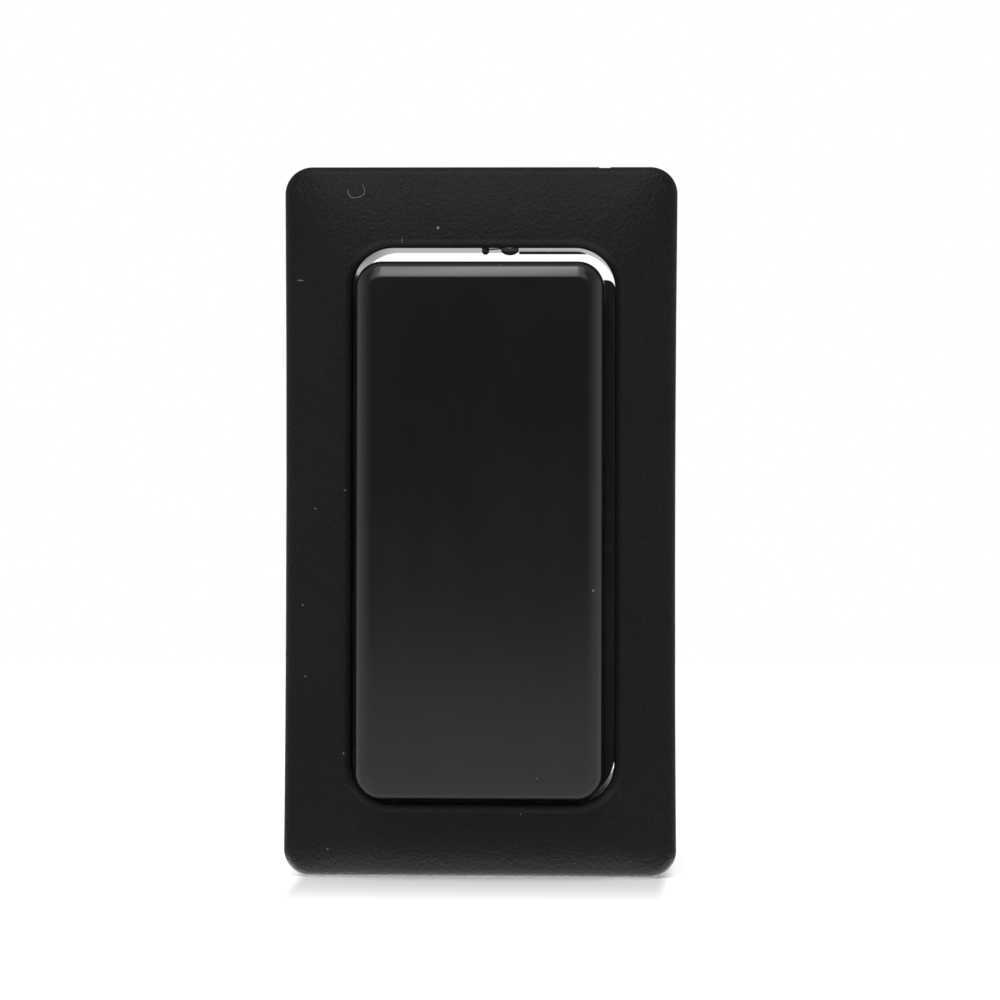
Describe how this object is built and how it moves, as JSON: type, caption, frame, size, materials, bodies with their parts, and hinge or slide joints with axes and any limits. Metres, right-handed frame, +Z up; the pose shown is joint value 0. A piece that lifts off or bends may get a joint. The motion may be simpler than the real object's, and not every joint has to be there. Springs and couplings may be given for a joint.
{
  "type": "pushbutton switch",
  "caption": "Rectangular black snap-in panel pushbutton with a sloped bezel, a long sprung cap and blade terminals behind.",
  "frame": {"origin": "middle of the panel cut-out, in the panel's front surface, which the bezel's back rests on", "axes": "+Z up the bezel's long side, +X to the right seen from the front, -Y towards the user, +Y into the panel"},
  "size_m": [0.0277, 0.0417, 0.05],
  "materials": {
    "bezel_nylon": "black nylon, fine spark-grained front, glossy well walls",
    "cap_plastic": "black satin plastic",
    "housing_plastic": "black moulded polyester, semi-matt",
    "base_plastic": "black-brown phenolic moulding, semi-matt",
    "acetal": "natural white acetal",
    "brass": "stamped brass, slightly dulled",
    "copper": "rolled copper strip",
    "silver": "silver alloy contact",
    "spring_steel": "drawn stainless spring wire",
    "screw_steel": "zinc-plated steel"
  },
  "bodies": {
    "switch_body": {"bezel_frame": "bezel_nylon", "switch_housing": "housing_plastic", "terminal_base": "base_plastic", "base_screws": "screw_steel", "terminal_1": "brass", "terminal_2": "brass", "terminal_3": "brass", "terminal_4": "brass", "fixed_contact_1": "silver", "fixed_contact_2": "silver", "fixed_contact_3": "silver", "fixed_contact_4": "silver", "return_spring": "spring_steel"},
    "button": {"button_cap": "cap_plastic", "plunger": "acetal", "contact_carrier": "acetal", "upper_contact_spring": "spring_steel", "lower_contact_spring": "spring_steel"},
    "upper_bridge": {"upper_contact_bridge": "copper", "moving_contact_1": "silver", "moving_contact_2": "silver"},
    "lower_bridge": {"lower_contact_bridge": "copper", "moving_contact_3": "silver", "moving_contact_4": "silver"}
  },
  "joints": [
    {"name": "button_press", "type": "slide", "parent": "switch_body", "child": "button", "axis": [0, 1, 0], "range_m": [0, 0.0035], "stiffness_N_per_m": 700, "springref_m": -0.0035, "deforming": ["return_spring"]},
    {"name": "upper_bridge_lag", "type": "slide", "parent": "button", "child": "upper_bridge", "axis": [0, -1, 0], "range_m": [0, 0.00105], "deforming": ["upper_contact_spring"]},
    {"name": "lower_bridge_lag", "type": "slide", "parent": "button", "child": "lower_bridge", "axis": [0, -1, 0], "range_m": [0, 0.00105], "deforming": ["lower_contact_spring"]}
  ],
  "couplings": [
    {"joint": "upper_bridge_lag", "follows": "button_press", "ratio": 0.3},
    {"joint": "lower_bridge_lag", "follows": "button_press", "ratio": 0.3}
  ]
}
